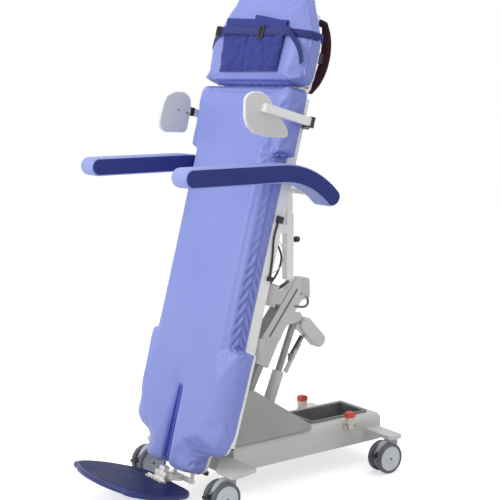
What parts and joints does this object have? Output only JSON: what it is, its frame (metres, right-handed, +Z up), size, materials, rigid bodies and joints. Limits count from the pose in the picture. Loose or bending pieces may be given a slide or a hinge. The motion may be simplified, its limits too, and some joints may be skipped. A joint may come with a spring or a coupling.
{
  "type": "physiotherapy tilt table",
  "caption": "Tilt table standing nearly upright: padded lying surface with head section, footplate, armrests, thorax supports and push handles on a lifting column with a castored chassis",
  "frame": {"origin": "on the floor, under the middle of the table's overall box", "axes": "+Z up, +Y from the patient's side towards the push handles and the chassis, +X to the right seen from the patient's side"},
  "size_m": [0.76, 1.3126, 1.9383],
  "materials": {
    "vinyl_blue": "satin upholstery vinyl",
    "navy_plastic": "matte",
    "white_paint": "satin powder coat",
    "black_plastic": "matte",
    "grey_paint": "satin powder coat",
    "zinc_steel": "zinc plated",
    "light_grey_paint": "satin powder coat",
    "dark_grey_plastic": "matte",
    "dark_steel": "satin black",
    "pale_plastic": "moulded",
    "red_rubber": "matte",
    "motor_plastic": "moulded",
    "light_plastic": "moulded",
    "armrest_blue": "satin vinyl",
    "armrest_navy": "satin vinyl",
    "pad_grey": "satin vinyl",
    "maroon_foam": "foam grip",
    "strap_fabric": "woven strap",
    "footplate_navy": "moulded covering",
    "castor_plastic": "moulded",
    "castor_wheel": "moulded wheel with soft tread"
  },
  "bodies": {
    "base": {"chassis_shell": "light_grey_paint", "tray_liner": "dark_grey_plastic", "column_housing": "light_grey_paint", "column_tube": "dark_steel", "base_brackets": "dark_steel", "front_leg": "light_grey_paint", "rear_legs": "light_grey_paint"},
    "pedals": {"pedal_lever": "zinc_steel", "pedal_bodies": "pale_plastic", "pedal_pads": "red_rubber"},
    "lift": {"arm_sleeve": "light_grey_paint", "lift_arm": "grey_paint", "tilt_bracket": "grey_paint", "column_motor": "motor_plastic"},
    "actuator_tube": {"ram_tube": "light_plastic"},
    "actuator_rod": {"ram_rod": "dark_steel", "ram_motor": "light_plastic"},
    "table": {"mattress": "vinyl_blue", "slot_lining": "navy_plastic", "body_board": "white_paint", "table_frame": "white_paint", "frame_end_caps": "black_plastic", "tilt_ears": "grey_paint", "hinge_shafts": "zinc_steel", "armrest_post": "white_paint", "cable_bundle": "black_plastic"},
    "foot_slide": {"foot_bracket": "zinc_steel"},
    "foot_support": {"footplate": "footplate_navy", "footplate_hinge": "zinc_steel"},
    "mast": {"armrest_mast": "white_paint"},
    "knob": {"post_lock_knob": "black_plastic"},
    "head": {"head_cushion": "vinyl_blue", "head_board": "white_paint", "head_frame": "white_paint", "push_handles": "maroon_foam", "strap_panel": "strap_fabric", "strap_webbing": "strap_fabric", "strap_hardware": "black_plastic"},
    "castor_front_right": {"castor_front_right_hood": "castor_plastic"},
    "wheels_front_right": {"castor_front_right_wheels": "castor_wheel"},
    "brake_front_right": {"castor_front_right_brake": "black_plastic"},
    "castor_front_left": {"castor_front_left_hood": "castor_plastic"},
    "wheels_front_left": {"castor_front_left_wheels": "castor_wheel"},
    "brake_front_left": {"castor_front_left_brake": "black_plastic"},
    "castor_rear_right": {"castor_rear_right_hood": "castor_plastic"},
    "wheels_rear_right": {"castor_rear_right_wheels": "castor_wheel"},
    "brake_rear_right": {"castor_rear_right_brake": "black_plastic"},
    "castor_rear_left": {"castor_rear_left_hood": "castor_plastic"},
    "wheels_rear_left": {"castor_rear_left_wheels": "castor_wheel"},
    "brake_rear_left": {"castor_rear_left_brake": "black_plastic"},
    "armrest_right": {"armrest_right_core": "armrest_blue", "armrest_right_panels": "armrest_navy"},
    "thorax_clamp_right_body": {"thorax_clamp_right": "black_plastic"},
    "thorax_support_right": {"thorax_bar_right": "white_paint", "thorax_pad_right": "pad_grey"},
    "armrest_left": {"armrest_left_core": "armrest_blue", "armrest_left_panels": "armrest_navy"},
    "thorax_clamp_left_body": {"thorax_clamp_left": "black_plastic"},
    "thorax_support_left": {"thorax_bar_left": "white_paint", "thorax_pad_left": "pad_grey"}
  },
  "joints": [
    {"name": "castor_front_right_swivel", "type": "hinge", "parent": "base", "child": "castor_front_right", "pos_m": [0.26, -0.2077, 0.135], "axis": [0, 0, 1], "continuous": true},
    {"name": "castor_front_right_roll", "type": "hinge", "parent": "castor_front_right", "child": "wheels_front_right", "pos_m": [0.26, -0.2427, 0.0625], "axis": [1, 0, 0], "continuous": true},
    {"name": "castor_front_right_brake_press", "type": "hinge", "parent": "castor_front_right", "child": "brake_front_right", "pos_m": [0.26, -0.2817, 0.076], "axis": [1, 0, 0], "range_deg": [0, 10]},
    {"name": "castor_front_left_swivel", "type": "hinge", "parent": "base", "child": "castor_front_left", "pos_m": [-0.26, -0.2077, 0.135], "axis": [0, 0, 1], "continuous": true},
    {"name": "castor_front_left_roll", "type": "hinge", "parent": "castor_front_left", "child": "wheels_front_left", "pos_m": [-0.26, -0.2427, 0.0625], "axis": [1, 0, 0], "continuous": true},
    {"name": "castor_front_left_brake_press", "type": "hinge", "parent": "castor_front_left", "child": "brake_front_left", "pos_m": [-0.26, -0.2817, 0.076], "axis": [1, 0, 0], "range_deg": [0, 10]},
    {"name": "castor_rear_right_swivel", "type": "hinge", "parent": "base", "child": "castor_rear_right", "pos_m": [0.268, 0.6023, 0.135], "axis": [0, 0, 1], "continuous": true},
    {"name": "castor_rear_right_roll", "type": "hinge", "parent": "castor_rear_right", "child": "wheels_rear_right", "pos_m": [0.268, 0.5673, 0.0625], "axis": [1, 0, 0], "continuous": true},
    {"name": "castor_rear_right_brake_press", "type": "hinge", "parent": "castor_rear_right", "child": "brake_rear_right", "pos_m": [0.268, 0.5283, 0.076], "axis": [1, 0, 0], "range_deg": [0, 10]},
    {"name": "castor_rear_left_swivel", "type": "hinge", "parent": "base", "child": "castor_rear_left", "pos_m": [-0.268, 0.6023, 0.135], "axis": [0, 0, 1], "continuous": true},
    {"name": "castor_rear_left_roll", "type": "hinge", "parent": "castor_rear_left", "child": "wheels_rear_left", "pos_m": [-0.268, 0.5673, 0.0625], "axis": [1, 0, 0], "continuous": true},
    {"name": "castor_rear_left_brake_press", "type": "hinge", "parent": "castor_rear_left", "child": "brake_rear_left", "pos_m": [-0.268, 0.5283, 0.076], "axis": [1, 0, 0], "range_deg": [0, 10]},
    {"name": "pedal_press", "type": "hinge", "parent": "base", "child": "pedals", "pos_m": [0, 0.4713, 0.184], "axis": [1, 0, 0], "range_deg": [-8, 8]},
    {"name": "column_lift", "type": "slide", "parent": "base", "child": "lift", "axis": [0, 0.4695, 0.8829], "range_m": [-0.02, 0.15]},
    {"name": "actuator_swing", "type": "hinge", "parent": "base", "child": "actuator_tube", "pos_m": [0, 0.1028, 0.132], "axis": [1, 0, 0], "range_deg": [-1.5, 0.3]},
    {"name": "actuator_extend", "type": "slide", "parent": "actuator_tube", "child": "actuator_rod", "axis": [0, 0.373, 0.9278], "range_m": [-0.0205, 0.1505]},
    {"name": "table_tilt", "type": "hinge", "parent": "lift", "child": "table", "pos_m": [0, 0.0563, 0.76], "axis": [1, 0, 0], "range_deg": [-75, 1]},
    {"name": "footplate_height", "type": "slide", "parent": "table", "child": "foot_slide", "axis": [0, 0.2605, 0.9655], "range_m": [-0.02, 0.02]},
    {"name": "footplate_fold", "type": "hinge", "parent": "foot_slide", "child": "foot_support", "pos_m": [0, -0.36439, 0.08833], "axis": [-1, 0, 0], "range_deg": [0, 88]},
    {"name": "armrest_height", "type": "slide", "parent": "table", "child": "mast", "axis": [0, 0, 1], "range_m": [-0.11, 0]},
    {"name": "post_lock_turn", "type": "hinge", "parent": "table", "child": "knob", "pos_m": [0.07, 0.2463, 0.968], "axis": [0, 1, 0], "continuous": true},
    {"name": "headrest_tilt", "type": "hinge", "parent": "table", "child": "head", "pos_m": [0, 0.15541, 1.55414], "axis": [1, 0, 0], "range_deg": [-25, 3]},
    {"name": "armrest_right_swing", "type": "hinge", "parent": "mast", "child": "armrest_right", "pos_m": [0.33, 0.1663, 1.176], "axis": [1, 0, 0], "range_deg": [0, 45]},
    {"name": "thorax_right_height", "type": "slide", "parent": "table", "child": "thorax_clamp_right_body", "axis": [0, 0.2605, 0.9655], "range_m": [-0.05, 0.045]},
    {"name": "thorax_right_depth", "type": "slide", "parent": "thorax_clamp_right_body", "child": "thorax_support_right", "axis": [0, 0.9655, -0.2605], "range_m": [0, 0.055]},
    {"name": "armrest_left_swing", "type": "hinge", "parent": "mast", "child": "armrest_left", "pos_m": [-0.33, 0.1663, 1.176], "axis": [1, 0, 0], "range_deg": [0, 45]},
    {"name": "thorax_left_height", "type": "slide", "parent": "table", "child": "thorax_clamp_left_body", "axis": [0, 0.2605, 0.9655], "range_m": [-0.05, 0.045]},
    {"name": "thorax_left_depth", "type": "slide", "parent": "thorax_clamp_left_body", "child": "thorax_support_left", "axis": [0, 0.9655, -0.2605], "range_m": [0, 0.07]}
  ],
  "couplings": [
    {"joint": "actuator_swing", "follows": "column_lift", "rad_per_m": -0.165},
    {"joint": "actuator_extend", "follows": "column_lift", "ratio": 0.995}
  ]
}
